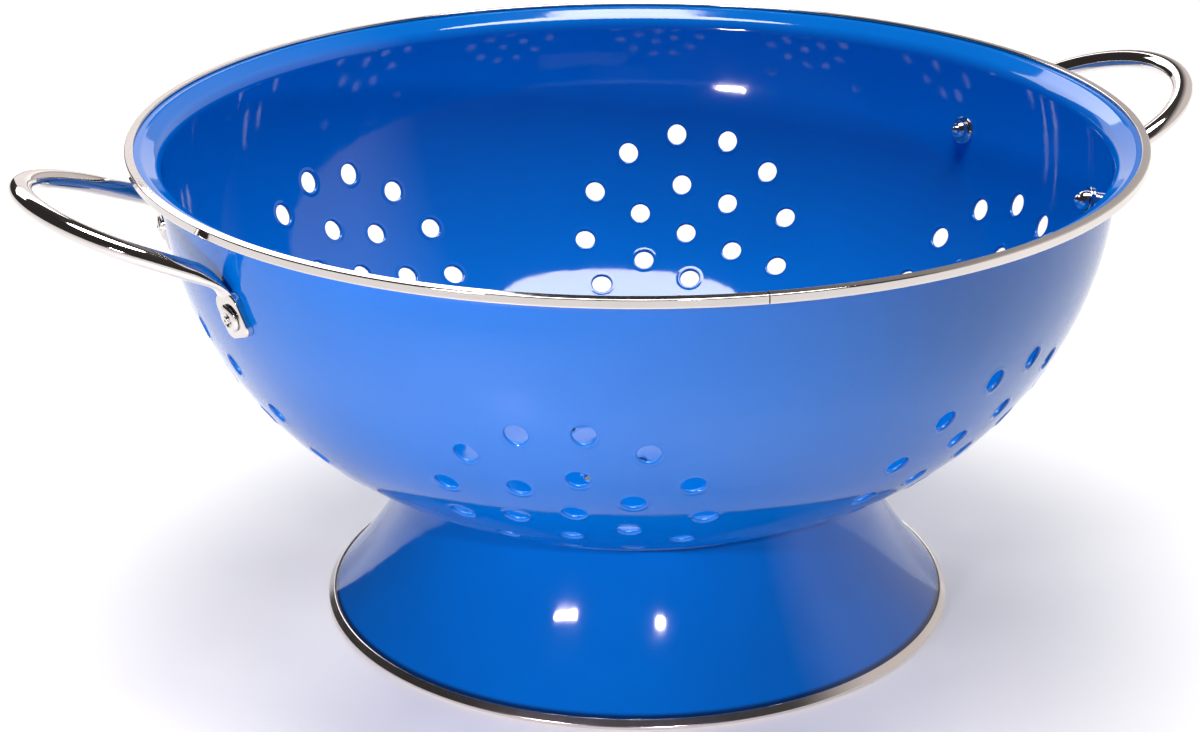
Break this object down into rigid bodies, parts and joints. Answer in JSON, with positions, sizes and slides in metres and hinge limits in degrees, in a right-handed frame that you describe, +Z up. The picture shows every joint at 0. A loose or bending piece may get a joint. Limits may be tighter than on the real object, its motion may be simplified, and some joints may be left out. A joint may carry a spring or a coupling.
{
  "type": "colander",
  "caption": "Footed round colander: enamelled steel bowl with drain holes in groups, on a flared foot ring, with polished steel edge trims and riveted rod handles.",
  "frame": {"origin": "On the table, at the middle of the foot ring.", "axes": "+Z is up along the bowl's axis; the handles lie along X, the right one at +X; -Y is the front."},
  "size_m": [0.3438, 0.28, 0.1423],
  "materials": {
    "blue_enamel": "glossy fired enamel",
    "polished_steel": "polished"
  },
  "bodies": {
    "root": {"bowl": "blue_enamel", "rim_trim": "polished_steel", "foot": "blue_enamel", "foot_trim": "polished_steel", "right_handle": "polished_steel", "left_handle": "polished_steel", "right_back_rivet": "polished_steel", "right_back_mandrel": "polished_steel", "right_back_washer": "polished_steel", "right_front_rivet": "polished_steel", "right_front_mandrel": "polished_steel", "right_front_washer": "polished_steel", "left_front_rivet": "polished_steel", "left_front_mandrel": "polished_steel", "left_front_washer": "polished_steel", "left_back_rivet": "polished_steel", "left_back_mandrel": "polished_steel", "left_back_washer": "polished_steel"}
  },
  "joints": []
}
